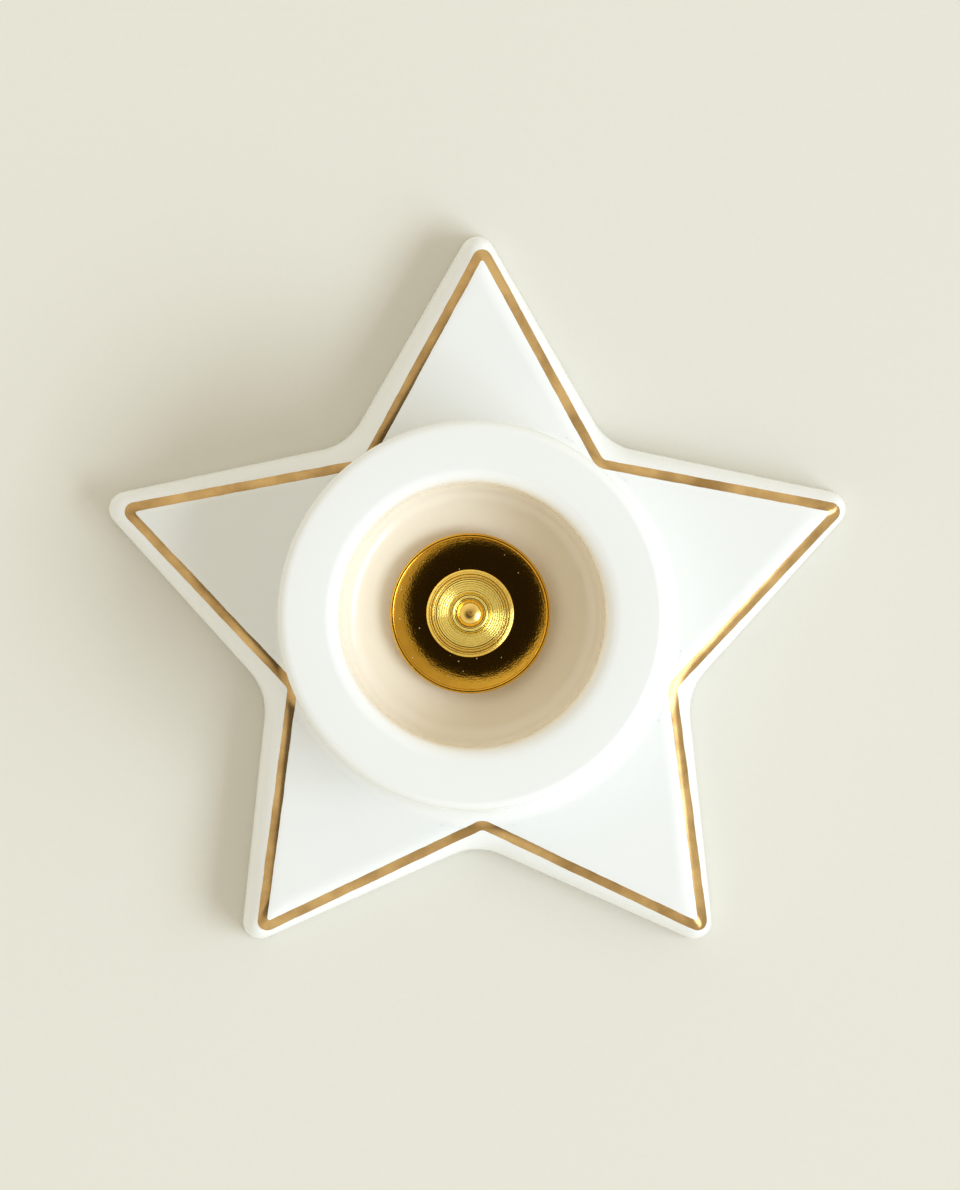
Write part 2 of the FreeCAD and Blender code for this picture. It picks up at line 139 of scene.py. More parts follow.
# ---- finishes --------------------------------------------------------------------------------------
@dataclass(frozen=True)
class GlazedPorcelain:
    """Slip-cast porcelain under a clear glaze.

    The body is a clean white. The glaze is glassy and almost smooth, with a slow waviness where it ran
    and a very fine orange peel. In the candle's well a painted cream tint stands in for the warm light that
    the gold throws back.
    """

    name: str = "glazed_porcelain"
    body: str = "#F6F7F5"
    drifted: str = "#F4F6F3"
    # painted warm glow: the gold's reflected light in the well, painted into the glaze as cream
    painted_well_glow: str = "#FDF4E1"
    roughness: float = 0.07
    glaze_ior: float = 1.5
    drift: float = 14.0 * MM
    ripple: float = 7.0 * MM
    ripple_height: float = 0.05 * MM
    peel: float = 0.9 * MM
    peel_height: float = 0.01 * MM
    well_axis: tuple[float, float] | None = None
    well_edge: tuple[float, float] = (23.0 * MM, 19.5 * MM)
    well_depth: tuple[float, float] = (32.0 * MM, 28.0 * MM)

    def tint(self, tree: bpy.types.NodeTree, place: bpy.types.NodeSocket,
             drift: bpy.types.NodeSocket) -> bpy.types.NodeSocket:
        """The glaze's colour, with the well's painted warm glow if there is one.

        Args:
            tree: the material's tree.
            place: the piece's Object coordinates.
            drift: the slow drift of the glaze's thickness.

        Returns:
            The colour's socket.
        """
        white = add_node(tree, "ShaderNodeMix", {
            0: drift, 6: linear(self.body), 7: linear(self.drifted),
        }, data_type="RGBA").outputs[2]
        if self.well_axis is None:
            return white
        apart = add_node(tree, "ShaderNodeSeparateXYZ", {0: place})
        flat = add_node(tree, "ShaderNodeCombineXYZ", {0: apart.outputs[0], 1: apart.outputs[1]})
        reach = add_node(tree, "ShaderNodeVectorMath", {
            0: flat.outputs[0], 1: (*self.well_axis, 0.0),
        }, operation="DISTANCE")
        inside = add_node(tree, "ShaderNodeMapRange", {
            "Value": reach.outputs["Value"], "From Min": self.well_edge[0], "From Max": self.well_edge[1],
        }, interpolation_type="SMOOTHSTEP")
        deep = add_node(tree, "ShaderNodeMapRange", {
            "Value": apart.outputs[2], "From Min": self.well_depth[0], "From Max": self.well_depth[1],
        }, interpolation_type="SMOOTHSTEP")
        glow_share = add_node(tree, "ShaderNodeMath", {
            0: inside.outputs[0], 1: deep.outputs[0],
        }, operation="MULTIPLY")
        # the well's painted warm glow: a cream tint for the light that the gold throws back
        return add_node(tree, "ShaderNodeMix", {
            0: glow_share.outputs[0], 6: white, 7: linear(self.painted_well_glow),
        }, data_type="RGBA").outputs[2]

    def material(self) -> bpy.types.Material:
        """Build the glaze's material.

        Returns:
            The new material.
        """
        material, tree, place = blank_material(self.name)
        drift = add_node(tree, "ShaderNodeTexNoise", {
            "Vector": place, "Scale": per(self.drift), "Detail": 2.0,
        })
        ripple = add_node(tree, "ShaderNodeTexNoise", {
            "Vector": place, "Scale": per(self.ripple), "Detail": 1.0,
        })
        peel = add_node(tree, "ShaderNodeTexNoise", {"Vector": place, "Scale": per(self.peel), "Detail": 1.0})
        waves = add_node(tree, "ShaderNodeBump", {
            "Height": ripple.outputs[0], "Strength": 0.25, "Distance": self.ripple_height,
        })
        skin = add_node(tree, "ShaderNodeBump", {
            "Height": peel.outputs[0], "Strength": 0.12, "Distance": self.peel_height,
            "Normal": waves.outputs[0],
        })
        gloss = add_node(tree, "ShaderNodeMapRange", {
            "Value": drift.outputs[0], "To Min": self.roughness * 0.8, "To Max": self.roughness * 1.3,
        })
        shader = add_node(tree, "ShaderNodeBsdfPrincipled", {
            "Base Color": self.tint(tree, place, drift.outputs[0]), "Roughness": gloss.outputs[0],
            "IOR": self.glaze_ior, "Normal": skin.outputs[0],
        })
        close_material(tree, shader.outputs[0])
        return material


@dataclass(frozen=True)
class BisqueFoot:
    """Unglazed porcelain where the foot was wiped clean: matt, a little creamy, with a fine sandy tooth."""

    name: str = "bisque_foot"
    colour: str = "#E9E4D8"
    stain: str = "#D9D0BD"
    grime: float = 5.0 * MM
    tooth: float = 0.25 * MM
    tooth_height: float = 0.03 * MM
    roughness: float = 0.72

    def material(self) -> bpy.types.Material:
        """Build the bare clay's material.

        Returns:
            The new material.
        """
        material, tree, place = blank_material(self.name)
        grime = add_node(tree, "ShaderNodeTexNoise", {
            "Vector": place, "Scale": per(self.grime), "Detail": 5.0,
        })
        tint = add_node(tree, "ShaderNodeMix", {
            0: grime.outputs[0], 6: linear(self.colour), 7: linear(self.stain),
        }, data_type="RGBA")
        tooth = add_node(tree, "ShaderNodeTexNoise", {
            "Vector": place, "Scale": per(self.tooth), "Detail": 3.0,
        })
        bump = add_node(tree, "ShaderNodeBump", {
            "Height": tooth.outputs[0], "Strength": 0.5, "Distance": self.tooth_height,
        })
        shader = add_node(tree, "ShaderNodeBsdfPrincipled", {
            "Base Color": tint.outputs[2], "Roughness": self.roughness, "Normal": bump.outputs[0],
        })
        close_material(tree, shader.outputs[0])
        return material


@dataclass(frozen=True)
class GoldLustre:
    """Fired gold lustre, brushed on over the glaze by hand.

    The film is a soft, brushed mirror, redder where it is thin, with a little of the glaze showing through.
    """

    name: str = "gold_lustre"
    thick: str = "#D6B176"
    thin: str = "#A68350"
    roughness: float = 0.19
    metal: float = 0.82
    patch: float = 6.0 * MM
    grain: float = 0.5 * MM
    grain_height: float = 0.02 * MM

    def material(self) -> bpy.types.Material:
        """Build the lustre's material.

        Returns:
            The new material.
        """
        material, tree, place = blank_material(self.name)
        patches = add_node(tree, "ShaderNodeTexNoise", {
            "Vector": place, "Scale": per(self.patch), "Detail": 4.0,
        })
        cover = add_node(tree, "ShaderNodeMapRange", {
            "Value": patches.outputs[0], "From Min": 0.35, "From Max": 0.65,
        })
        tint = add_node(tree, "ShaderNodeMix", {
            0: cover.outputs[0], 6: linear(self.thin), 7: linear(self.thick),
        }, data_type="RGBA")
        grain = add_node(tree, "ShaderNodeTexNoise", {
            "Vector": place, "Scale": per(self.grain), "Detail": 3.0,
        })
        bump = add_node(tree, "ShaderNodeBump", {
            "Height": grain.outputs[0], "Strength": 0.35, "Distance": self.grain_height,
        })
        gloss = add_node(tree, "ShaderNodeMapRange", {
            "Value": patches.outputs[0], "To Min": self.roughness * 1.5, "To Max": self.roughness * 0.7,
        })
        shader = add_node(tree, "ShaderNodeBsdfPrincipled", {
            "Base Color": tint.outputs[2], "Metallic": self.metal, "Roughness": gloss.outputs[0],
            "Normal": bump.outputs[0],
        })
        close_material(tree, shader.outputs[0])
        return material


class Surface(Enum):
    """How a plated part was finished before it was plated."""

    SPUN = "spun and polished"
    TURNED = "turned, with the tool's lines left in"


@dataclass(frozen=True)
class GoldPlate:
    """Bright gold plating over brass: a deep yellow mirror, with a few specks of dust."""

    name: str
    surface: Surface
    axis: tuple[float, float]
    colour: str
    worn: str
    dust: str = "#CFC3A6"
    roughness: float = 0.1
    cloud: float = 1.8 * MM
    dent_height: float = 0.05 * MM
    grain: float = 0.28 * MM
    grain_height: float = 0.02 * MM
    line_pitch: float = 0.34 * MM   # real tool lines are finer: this is as fine as still shows
    line_height: float = 0.06 * MM
    dust_apart: float = 1.5 * MM
    speck_edge: tuple[float, float] = (0.075, 0.035)   # shares of the way from one speck to the next
    speck_cover: float = 0.8

    def dusted(self, tree: bpy.types.NodeTree, place: bpy.types.NodeSocket) -> bpy.types.NodeSocket:
        """How much of the plating each speck of dust hides.

        Args:
            tree: the material's tree.
            place: the piece's Object coordinates.

        Returns:
            The socket of the hidden share.
        """
        cells = add_node(tree, "ShaderNodeTexVoronoi", {"Vector": place, "Scale": per(self.dust_apart)})
        return add_node(tree, "ShaderNodeMapRange", {
            "Value": cells.outputs["Distance"], "From Min": self.speck_edge[0],
            "From Max": self.speck_edge[1], "To Max": self.speck_cover,
        }).outputs[0]

    def material(self) -> bpy.types.Material:
        """Build the plating's material.

        Returns:
            The new material.
        """
        material, tree, place = blank_material(self.name)
        turned = self.surface is Surface.TURNED
        line_strength = 1.0 if turned else 0.015
        dullest = self.roughness * (2.4 if turned else 1.5)
        centred = add_node(tree, "ShaderNodeMapping", {
            "Vector": place, "Location": (-self.axis[0], -self.axis[1], 0.0),
        })
        cloud = add_node(tree, "ShaderNodeTexNoise", {
            "Vector": place, "Scale": per(self.cloud), "Detail": 4.0,
        })
        gold = add_node(tree, "ShaderNodeMix", {
            0: cloud.outputs[0], 6: linear(self.colour), 7: linear(self.worn),
        }, data_type="RGBA")
        dust = self.dusted(tree, place)
        tint = add_node(tree, "ShaderNodeMix", {
            0: dust, 6: gold.outputs[2], 7: linear(self.dust),
        }, data_type="RGBA")
        lines = add_node(tree, "ShaderNodeTexWave", {
            "Vector": centred.outputs[0], "Scale": wave_scale(self.line_pitch),
            "Distortion": 0.3, "Detail": 2.0, "Detail Scale": 6.0,
        }, wave_type="RINGS", rings_direction="Z")
        grain = add_node(tree, "ShaderNodeTexNoise", {
            "Vector": place, "Scale": per(self.grain), "Detail": 4.0,
        })
        tooling = add_node(tree, "ShaderNodeBump", {
            "Height": lines.outputs[1], "Strength": line_strength, "Distance": self.line_height,
        })
        dents = add_node(tree, "ShaderNodeBump", {
            "Height": cloud.outputs[0], "Strength": 0.5, "Distance": self.dent_height,
            "Normal": tooling.outputs[0],
        })
        bump = add_node(tree, "ShaderNodeBump", {
            "Height": grain.outputs[0], "Strength": 0.8, "Distance": self.grain_height,
            "Normal": dents.outputs[0],
        })
        gloss = add_node(tree, "ShaderNodeMapRange", {
            "Value": cloud.outputs[0], "To Min": self.roughness * 0.7, "To Max": dullest,
        })
        bright = add_node(tree, "ShaderNodeMath", {0: 1.0, 1: dust}, operation="SUBTRACT")
        dulled = add_node(tree, "ShaderNodeMath", {0: gloss.outputs[0], 1: dust}, operation="MAXIMUM")
        shader = add_node(tree, "ShaderNodeBsdfPrincipled", {
            "Base Color": tint.outputs[2], "Metallic": bright.outputs[0], "Roughness": dulled.outputs[0],
            "Normal": bump.outputs[0],
        })
        close_material(tree, shader.outputs[0])
        return material


@dataclass(frozen=True)
class PlatedSteel:
    """Zinc- or brass-plated steel hardware: a satin grey or yellow metal with a faint mottle."""

    name: str
    light: str
    dark: str
    roughness: float = 0.32
    mottle: float = 1.2 * MM
    grain: float = 0.15 * MM
    grain_height: float = 0.01 * MM

    def material(self) -> bpy.types.Material:
        """Build the hardware's material.

        Returns:
            The new material.
        """
        material, tree, place = blank_material(self.name)
        mottle = add_node(tree, "ShaderNodeTexNoise", {
            "Vector": place, "Scale": per(self.mottle), "Detail": 5.0,
        })
        tint = add_node(tree, "ShaderNodeMix", {
            0: mottle.outputs[0], 6: linear(self.light), 7: linear(self.dark),
        }, data_type="RGBA")
        fine = add_node(tree, "ShaderNodeTexNoise", {
            "Vector": place, "Scale": per(self.grain), "Detail": 3.0,
        })
        bump = add_node(tree, "ShaderNodeBump", {
            "Height": fine.outputs[0], "Strength": 0.3, "Distance": self.grain_height,
        })
        gloss = add_node(tree, "ShaderNodeMapRange", {
            "Value": mottle.outputs[0], "To Min": self.roughness * 0.7, "To Max": self.roughness * 1.4,
        })
        shader = add_node(tree, "ShaderNodeBsdfPrincipled", {
            "Base Color": tint.outputs[2], "Metallic": 1.0, "Roughness": gloss.outputs[0],
            "Normal": bump.outputs[0],
        })
        close_material(tree, shader.outputs[0])
        return material


@dataclass(frozen=True)
class SoftRing:
    """Moulded silicone or rubber: a soft matt skin with a slight bloom."""

    name: str
    colour: str
    bloom: str
    roughness: float = 0.55
    dust: float = 1.5 * MM
    dust_height: float = 0.02 * MM

    def material(self) -> bpy.types.Material:
        """Build the ring's material.

        Returns:
            The new material.
        """
        material, tree, place = blank_material(self.name)
        dust = add_node(tree, "ShaderNodeTexNoise", {"Vector": place, "Scale": per(self.dust), "Detail": 4.0})
        tint = add_node(tree, "ShaderNodeMix", {
            0: dust.outputs[0], 6: linear(self.colour), 7: linear(self.bloom),
        }, data_type="RGBA")
        bump = add_node(tree, "ShaderNodeBump", {
            "Height": dust.outputs[0], "Strength": 0.3, "Distance": self.dust_height,
        })
        shader = add_node(tree, "ShaderNodeBsdfPrincipled", {
            "Base Color": tint.outputs[2], "Roughness": self.roughness, "Normal": bump.outputs[0],
        })
        close_material(tree, shader.outputs[0])
        return material


@dataclass(frozen=True)
class PaintedBoard:
    """The table: a board painted a warm pale grey, dead matt, with the roller's fine stipple."""

    name: str = "painted_board"
    colour: str = "#E9E6DB"
    shade: str = "#E6E3D8"
    stipple: float = 0.9 * MM
    stipple_height: float = 0.02 * MM
    roughness: float = 0.95
    sheen: float = 0.1

    def material(self) -> bpy.types.Material:
        """Build the board's material.

        Returns:
            The new material.
        """
        material, tree, place = blank_material(self.name)
        stipple = add_node(tree, "ShaderNodeTexNoise", {
            "Vector": place, "Scale": per(self.stipple), "Detail": 3.0,
        })
        tint = add_node(tree, "ShaderNodeMix", {
            0: stipple.outputs[0], 6: linear(self.colour), 7: linear(self.shade),
        }, data_type="RGBA")
        bump = add_node(tree, "ShaderNodeBump", {
            "Height": stipple.outputs[0], "Strength": 0.25, "Distance": self.stipple_height,
        })
        shader = add_node(tree, "ShaderNodeBsdfPrincipled", {
            "Base Color": tint.outputs[2], "Roughness": self.roughness, "Specular IOR Level": self.sheen,
            "Normal": bump.outputs[0],
        })
        close_material(tree, shader.outputs[0])
        return material


# ---- drawing and turning ---------------------------------------------------------------------------
def quarter(steps: int) -> list[tuple[float, float]]:
    """How far in and how far up each step of a unit quarter circle goes, from its upright end."""
    turns = [math.pi / 2 * step / steps for step in range(steps + 1)]
    return [(1.0 - math.cos(turn), math.sin(turn)) for turn in turns]


class Section:
    """A half-section, drawn from point to point as (radius, height) and then spun about an upright axis."""

    def __init__(self, radius: float, height: float) -> None:
        """Put the pen down at the section's first point.

        Args:
            radius: the point's distance from the axis.
            height: the point's height.
        """
        self.mesh = bmesh.new()
        self.start = self.mesh.verts.new((radius, 0.0, height))
        self.pen = self.start

    def line(self, radius: float, height: float) -> "Section":
        """Draw a straight line to a point.

        Args:
            radius: the point's distance from the axis.
            height: the point's height.

        Returns:
            The section, so that calls can be chained.
        """
        self.pen = bmesh.ops.extrude_vert_indiv(self.mesh, verts=[self.pen])["verts"][0]
        self.pen.co = (radius, 0.0, height)
        return self

    def arc(self, radius: float, height: float, degrees: float, steps: int = 6) -> "Section":
        """Draw an arc.

        Args:
            radius: the arc centre's distance from the axis.
            height: the arc centre's height.
            degrees: how far the pen turns about the centre, anticlockwise as the section is drawn.
            steps: how many straight edges make the arc.

        Returns:
            The section, so that calls can be chained.
        """
        drawn = bmesh.ops.spin(
            self.mesh, geom=[self.pen], cent=(radius, 0.0, height), axis=-Vector((0, 1, 0)),
            angle=math.radians(degrees), steps=steps,
        )
        self.pen = next(item for item in drawn["geom_last"] if isinstance(item, BMVert))
        return self

    def close(self) -> "Section":
        """Join the pen to the section's first point."""
        self.mesh.edges.new((self.pen, self.start))
        return self

    def spun(self, axis: tuple[float, float] = (0.0, 0.0), steps: int = 160) -> BMesh:
        """Spin the section into a solid.

        Args:
            axis: the axis's place in plan.
            steps: how many faces go round.

        Returns:
            The turned mesh, with its poles closed.
        """
        geometry = self.mesh.verts[:] + self.mesh.edges[:]
        bmesh.ops.spin(
            self.mesh, geom=geometry, cent=(0.0, 0.0, 0.0), axis=UP, angle=FULL_TURN, steps=steps,
            use_merge=True,
        )
        bmesh.ops.remove_doubles(self.mesh, verts=self.mesh.verts, dist=POLE_WELD)
        bmesh.ops.translate(self.mesh, vec=(axis[0], axis[1], 0.0), verts=self.mesh.verts)
        return self.mesh


class Rings:
    """A surface drawn ring by ring, with every ring extruded from the one before."""

    def __init__(self, spokes: int) -> None:
        """Start with a circle that has one point for each spoke.

        Args:
            spokes: how many points every ring has.
        """
        self.mesh = bmesh.new()
        bmesh.ops.create_circle(self.mesh, segments=spokes, radius=1.0)
        self.verts = self.mesh.verts[:]
        self.edges = self.mesh.edges[:]
        self.started = False

    def add(self, place: Callable[[float], tuple[float, float]]) -> None:
        """Add a ring.

        Args:
            place: gives the ring's radius and height at an azimuth.
        """
        if self.started:
            drawn = bmesh.ops.extrude_edge_only(self.mesh, edges=self.edges)["geom"]
            self.verts = [item for item in drawn if isinstance(item, BMVert)]
            self.edges = [item for item in drawn if isinstance(item, BMEdge) and item.is_boundary]
        self.started = True
        for vert in self.verts:
            azimuth = math.atan2(vert.co.y, vert.co.x)
            radius, height = place(azimuth)
            vert.co = (radius * math.cos(azimuth), radius * math.sin(azimuth), height)

    def circle(self, radius: float, height: float) -> None:
        """Add a level round ring."""
        self.add(lambda azimuth: (radius, height))


@dataclass(frozen=True)
class StarOutline:
    """A five-pointed star in plan, given by the reach of its corners and their rounding."""

    tip_reach: float
    valley_reach: float
    tip_round: float
    valley_round: float
    points: int = 5
    sharpest_round: float = 1.2 * MM
    deepest_share: float = 0.9   # of the valleys' reach: the furthest inset that is looked for
    halvings: int = 26

    @property
    def half_tip(self) -> float:
        """Half the angle between the two edges at a tip.

        Returns:
            The angle in radians.
        """
        half_pitch = math.pi / self.points
        run = self.tip_reach - self.valley_reach * math.cos(half_pitch)
        return math.atan2(self.valley_reach * math.sin(half_pitch), run)

    def radius(self, azimuth: float, inset: float) -> float:
        """How far from the centre the outline lies.

        Args:
            azimuth: the direction in plan, from +X.
            inset: how far the outline lies inside the full-size one.

        Returns:
            The distance.
        """
        pitch = FULL_TURN / self.points
        from_tip = (azimuth - math.pi / 2) % pitch
        from_tip = min(from_tip, pitch - from_tip)
        half = self.half_tip
        tip_round = max(self.tip_round - inset, self.sharpest_round)
        centre = self.tip_reach - (inset + tip_round) / math.sin(half)
        if from_tip < math.atan2(tip_round * math.cos(half), centre + tip_round * math.sin(half)):
            across = centre * math.sin(from_tip)
            return centre * math.cos(from_tip) + math.sqrt(tip_round ** 2 - across ** 2)
        half_valley = half + pitch / 2
        valley_round = self.valley_round + inset
        centre = self.valley_reach + (valley_round - inset) / math.sin(half_valley)
        from_valley = pitch / 2 - from_tip
        edge = math.atan2(valley_round * math.cos(half_valley), centre - valley_round * math.sin(half_valley))
        if from_valley < edge:
            across = centre * math.sin(from_valley)
            return centre * math.cos(from_valley) - math.sqrt(valley_round ** 2 - across ** 2)
        return (self.tip_reach * math.sin(half) - inset) / math.cos(math.pi / 2 - half - from_tip)

    def inset(self, azimuth: float, radius: float) -> float:
        """Find the inset of the outline that passes through a point, by halving.

        Args:
            azimuth: the point's direction in plan, from +X.
            radius: the point's distance from the centre.

        Returns:
            The inset, or zero for a point outside the full-size outline.
        """
        least, most = 0.0, self.valley_reach * self.deepest_share
        for _ in range(self.halvings):
            middle = (least + most) / 2
            if self.radius(azimuth, middle) > radius:
                least = middle
            else:
                most = middle
        return least


def finished_piece(name: str, mesh: BMesh, materials: Iterable[bpy.types.Material],
                   sharp_degrees: float = 32.0) -> bpy.types.Object:
    """Turn a bmesh into a smooth-shaded object at the origin.

    Args:
        name: the piece's name.
        mesh: the mesh, which is used up.
        materials: the piece's material slots, in order.
        sharp_degrees: edges that turn more than this stay crisp.

    Returns:
        The new object.
    """
    bmesh.ops.recalc_face_normals(mesh, faces=mesh.faces)
    for face in mesh.faces:
        face.smooth = True
    for edge in mesh.edges:
        edge.smooth = edge.calc_face_angle(0.0) < math.radians(sharp_degrees)
    data = bpy.data.meshes.new(name)
    mesh.to_mesh(data)
    mesh.free()
    piece = bpy.data.objects.new(name, data)
    bpy.context.scene.collection.objects.link(piece)
    for material in materials:
        data.materials.append(material)
    return piece


def placed(piece: bpy.types.Object, node: str) -> bpy.types.Object:
    """Let a piece stand for its node of the design.

    Args:
        piece: the finished object.
        node: the design node that it replaces.

    Returns:
        The same object.
    """
    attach(piece, BODY)
    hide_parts(node)
    log.info("%s: %d faces, stands for %s", piece.name, len(piece.data.polygons), node)
    return piece


def direction_to(azimuth: float, from_zenith: float) -> Vector:
    """The unit vector with this azimuth and this angle from the zenith, in degrees."""
    turn, tilt = math.radians(azimuth), math.radians(from_zenith)
    return Vector((math.sin(tilt) * math.cos(turn), math.sin(tilt) * math.sin(turn), math.cos(tilt)))


def middle_of(node: str) -> tuple[float, float]:
    """A node's middle in plan."""
    low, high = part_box(node)
    return (low.x + high.x) / 2, (low.y + high.y) / 2


# ---- the star dish ---------------------------------------------------------------------------------
@dataclass
class StarDish:
    """The star casting and its gold line."""

    outline: StarOutline = StarOutline(63.2 * MM, 34.55 * MM, 3.0 * MM, 9.0 * MM)
    line_outline: StarOutline = StarOutline(
        59.6 * MM, 31.55 * MM, 1.5 * MM, 1.2 * MM, sharpest_round=0.3 * MM,
    )
    line_shift: tuple[float, float] = (0.8 * MM, -0.3 * MM)
    height: float = 10.0 * MM
    shoulder: float = 5.0 * MM
    wall_draft: float = math.radians(4.0)
    foot_bevel: float = 0.6 * MM
    foot_edge: tuple[tuple[float, float], ...] = (
        (0.02 * MM, 0.3 * MM), (-0.1 * MM, 0.08 * MM), (-0.3 * MM, 0.0),
    )   # the foot's worn inner edge: how far inside the wall's thickness, and how high
    wiped_height: float = 0.15 * MM
    wall: float = 4.0 * MM
    pocket_draft: float = 0.4 * MM
    pocket_bevel: float = 1.2 * MM
    pocket_ceiling: float = 6.0 * MM
    hub_radius: float = 28.8 * MM
    hub_edge: float = 0.4 * MM
    cove: float = 2.8 * MM
    hole_radius: float = 4.5 * MM
    hole_edge: float = 0.3 * MM
    recess_radius: float = 13.0 * MM
    recess_mouth: float = 15.0 * MM
    recess_ceiling: float = 8.8 * MM
    line_width: float = 1.45 * MM
    line_rows: int = 6
    line_proud: float = 0.02 * MM
    line_film: float = 0.06 * MM
    brush_waver: tuple[tuple[float, float], ...] = ((3.2 * MM, 0.07 * MM), (0.8 * MM, 0.03 * MM))
    support: float = 0.1 * MM
    shoulder_steps: int = 18
    cove_steps: int = 14
    pocket_steps: int = 5
    bevel_steps: int = 4
    hole_steps: int = 3
    spokes: int = 720
    line_spokes: int = 1440

    @property
    def lean(self) -> float:
        """How far the wall leans in over its height."""
        return (self.height - self.shoulder - self.foot_bevel) * math.tan(self.wall_draft)

    def top_height(self, azimuth: float, radius: float) -> float:
        """The height of the glazed top: the shoulder, the flat and the cove round the hub.

        Args:
            azimuth: a point's direction in plan, from +X.
            radius: the point's distance from the centre.

        Returns:
            The glaze's height there.
        """
        to_flat = max(0.0, self.lean + self.shoulder - self.outline.inset(azimuth, radius))
        drop = self.shoulder - math.sqrt(max(0.0, self.shoulder ** 2 - to_flat ** 2))
        into_cove = min(self.cove, max(0.0, self.hub_radius + self.cove - radius))
        return self.height - drop + self.cove - math.sqrt(self.cove ** 2 - into_cove ** 2)

    def underside(self, rings: Rings) -> None:
        """Draw the recess's ceiling, the pocket, the wiped foot and the bevel under the wall.

        Args:
            rings: the casting so far, which gets the new rings.
        """
        narrow = self.wall + self.pocket_draft
        rings.circle(self.hole_radius, self.recess_ceiling)
        rings.circle(self.recess_radius, self.recess_ceiling)
        rings.circle(self.recess_mouth, self.pocket_ceiling)
        rings.circle(self.recess_mouth + self.support, self.pocket_ceiling)
        levels = [(narrow + self.pocket_bevel + self.support, self.pocket_ceiling)]
        for inward, rise in reversed(quarter(self.pocket_steps)):
            levels.append((
                narrow + self.pocket_bevel * inward,
                self.pocket_ceiling - self.pocket_bevel * (1.0 - rise),
            ))
        levels += [(self.wall + further_in, height) for further_in, height in self.foot_edge]
        levels.append((self.foot_bevel, 0.0))
        for inward, rise in quarter(self.bevel_steps):
            levels.append((self.foot_bevel * (1.0 - rise), self.foot_bevel * inward))
        for inset, height in levels:
            rings.add(lambda azimuth: (self.outline.radius(azimuth, inset), height))

    def topside(self, rings: Rings) -> None:
        """Draw the wall, the shoulder, the flat, the cove, the hub's seat and its hole.

        Args:
            rings: the casting so far, which gets the new rings.
        """
        toe = self.hub_radius + self.cove
        wall_top = self.height - self.shoulder
        flat_inset = self.lean + self.shoulder + self.support

        def on_shoulder(azimuth: float) -> tuple[float, float]:
            """A point of the shoulder's ring, which stops at the cove's toe.

            Args:
                azimuth: the point's direction in plan, from +X.

            Returns:
                Its distance from the centre, and its height.
            """
            radius = self.outline.radius(azimuth, self.lean + self.shoulder * inward)
            if radius > toe:
                return radius, wall_top + self.shoulder * rise
            return toe, self.top_height(azimuth, toe)

        def inside_flat(azimuth: float) -> tuple[float, float]:
            """A point just inside the flat's edge, in the same form."""
            radius = max(toe, self.outline.radius(azimuth, flat_inset))
            return radius, self.top_height(azimuth, radius)

        for inward, rise in quarter(self.shoulder_steps):
            rings.add(on_shoulder)
        rings.add(inside_flat)
        coved = [toe - self.cove * rise for _, rise in quarter(self.cove_steps)[:-1]]
        for radius in [toe + self.support] + coved:
            rings.add(lambda azimuth: (radius, self.top_height(azimuth, radius)))
        hub_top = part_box("star_dish")[1].z
        for inward, rise in quarter(self.bevel_steps):
            rings.circle(self.hub_radius - self.hub_edge * inward, hub_top - self.hub_edge * (1.0 - rise))
        for inward, rise in reversed(quarter(self.hole_steps)):
            rings.circle(self.hole_radius + self.hole_edge * inward, hub_top - self.hole_edge * (1.0 - rise))
        rings.circle(self.hole_radius, self.recess_ceiling)

    def casting_mesh(self) -> BMesh:
        """Draw the whole casting as one closed mesh.

        Returns:
            The mesh, whose wiped foot has the second material.
        """
        rings = Rings(self.spokes)
        self.underside(rings)
        self.topside(rings)
        mesh = rings.mesh
        bmesh.ops.remove_doubles(mesh, verts=mesh.verts, dist=RING_WELD)
        for face in mesh.faces:
            if face.calc_center_median().z < self.wiped_height:
                face.material_index = 1
        return mesh

    def line_mesh(self) -> BMesh:
        """Draw the gold line as a thin closed film on the glaze, with a brush's slightly uneven edges.

        Returns:
            The line's mesh.
        """
        rings = Rings(self.line_spokes)
        for row in range(self.line_rows + 1):
            inset = self.line_width * row / self.line_rows
            rings.add(lambda azimuth: (self.line_outline.radius(azimuth, inset), 0.0))
        mesh = rings.mesh
        for vert in mesh.verts:
            waver = Vector(self.line_shift)
            for length, swing in self.brush_waver:
                waver += noise.noise_vector(vert.co * per(length)).xy * swing
            vert.co.xy += waver
            azimuth, radius = math.atan2(vert.co.y, vert.co.x), vert.co.xy.length
            vert.co.z = self.top_height(azimuth, radius) + self.line_proud
        bmesh.ops.recalc_face_normals(mesh, faces=mesh.faces)
        if sum(face.normal.z for face in mesh.faces) < 0:
            bmesh.ops.reverse_faces(mesh, faces=mesh.faces)
        bmesh.ops.solidify(mesh, geom=mesh.faces[:], thickness=self.line_film)
        return mesh

    def make(self, glaze: bpy.types.Material, bisque: bpy.types.Material, lustre: bpy.types.Material) -> None:
        """Build and dress both pieces.

        Args:
            glaze: the finish of the casting.
            bisque: the finish of its wiped foot.
            lustre: the finish of the line.
        """
        casting = finished_piece("star_casting", self.casting_mesh(), [glaze, bisque])
        placed(casting, "star_dish")
        line = finished_piece("lustre_line", self.line_mesh(), [lustre], sharp_degrees=50.0)
        placed(line, "gold_line")


